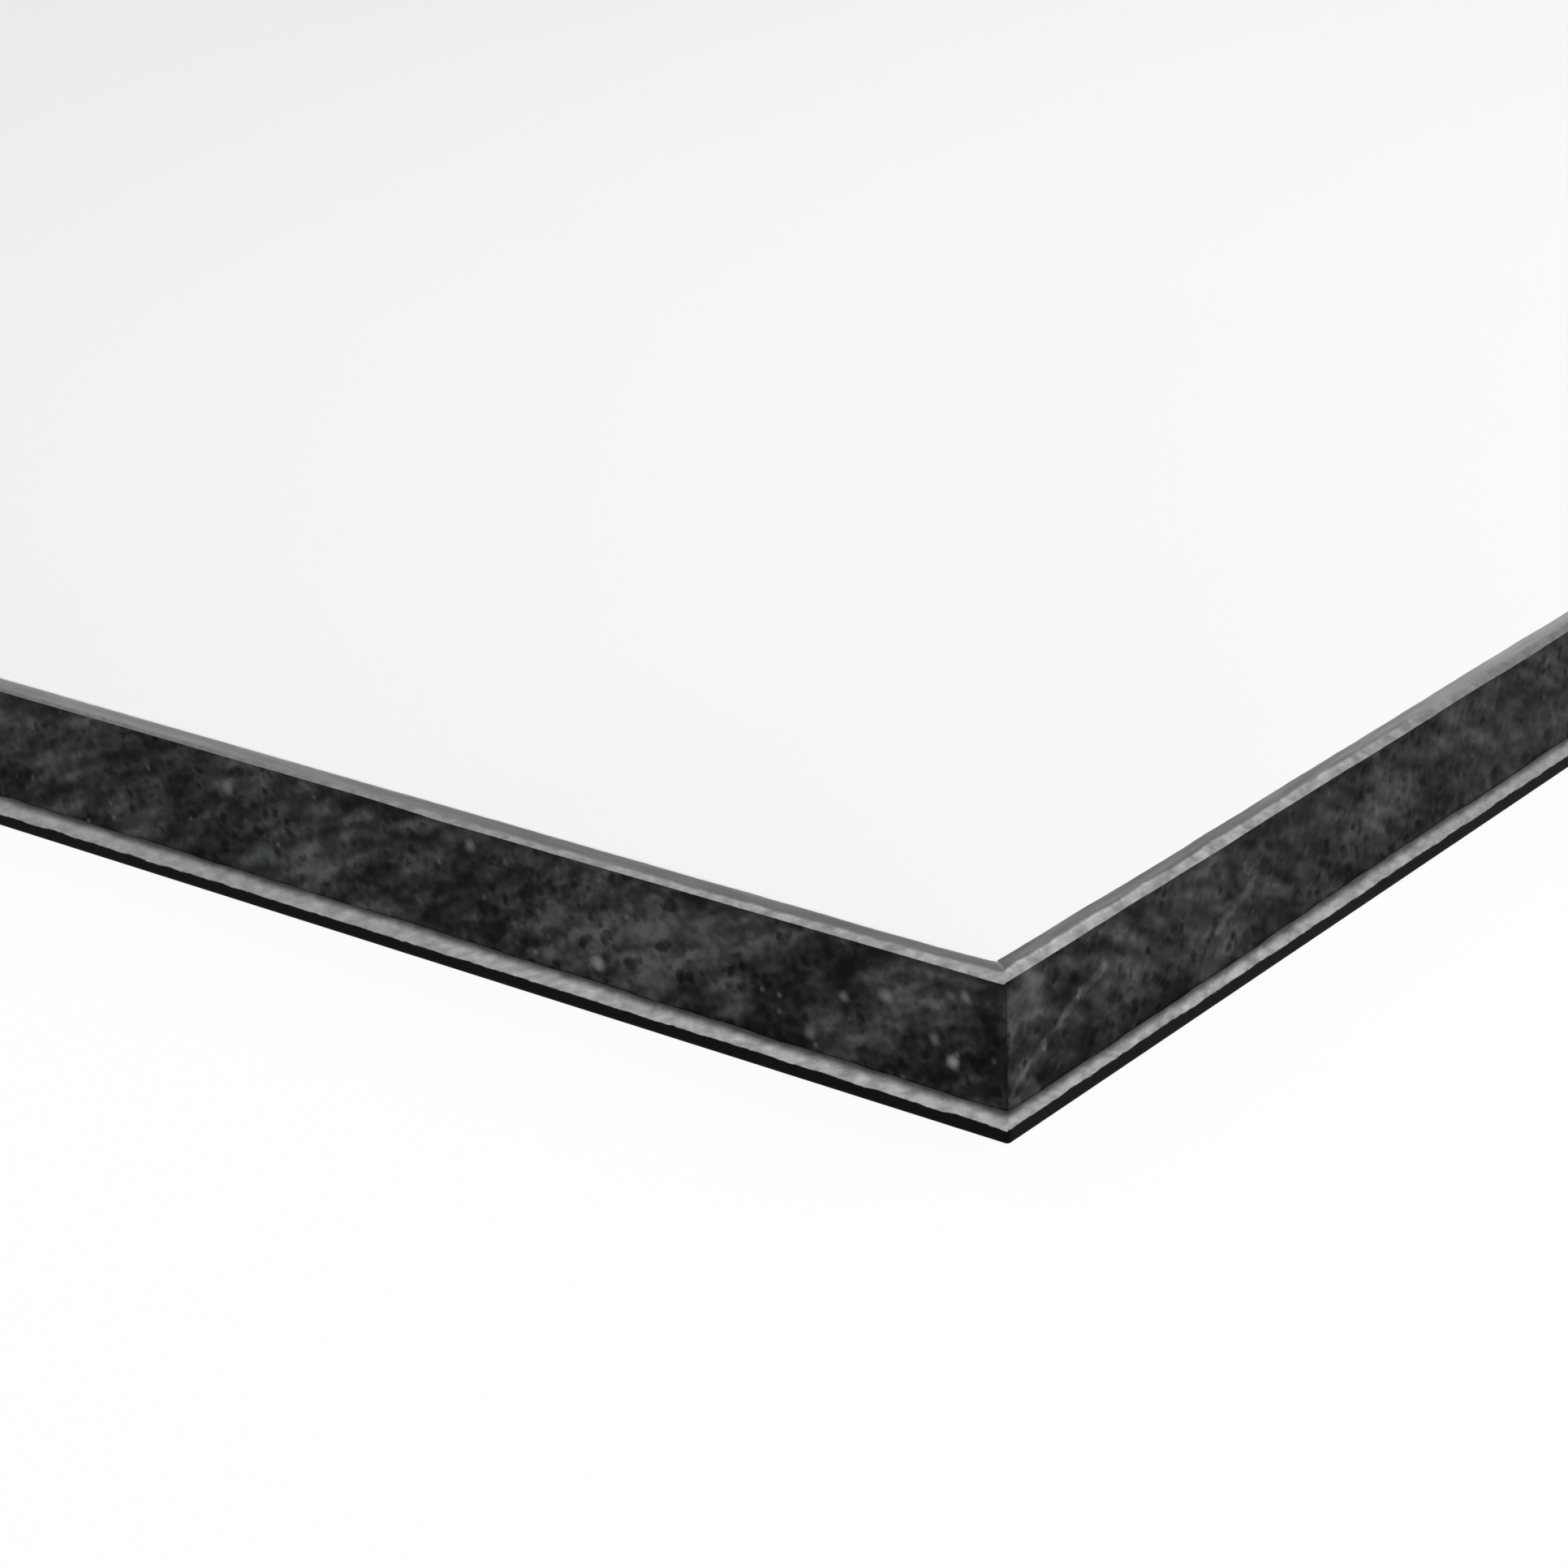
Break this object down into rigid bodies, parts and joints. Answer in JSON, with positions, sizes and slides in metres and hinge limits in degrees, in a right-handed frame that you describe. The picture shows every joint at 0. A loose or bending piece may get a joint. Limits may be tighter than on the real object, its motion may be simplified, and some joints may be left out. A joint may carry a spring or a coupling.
{
  "type": "aluminium composite panel",
  "caption": "Flat rectangular sandwich panel: white-coated aluminium face skin, black polyethylene core and black-backed aluminium skin, sawn edges showing the layers.",
  "frame": {"origin": "centre of the back face, the face the panel lies on", "axes": "+X along the long side towards the end with the filed arris, +Y along the short side, +Z through the thickness, out of the white face"},
  "size_m": [0.297, 0.21, 0.004],
  "materials": {
    "white_coated_skin": "white coil coating, satin gloss, on aluminium; bare sawn metal on the cut edge and the eased arris",
    "black_core": "sawn black polyethylene, diagonal saw streaks, pits and pale smears",
    "black_backed_skin": "black back lacquer on aluminium, carried over the lower arris; bare sawn metal on the cut edge"
  },
  "bodies": {
    "root": {"face_skin": "white_coated_skin", "core": "black_core", "back_skin": "black_backed_skin"}
  },
  "joints": []
}
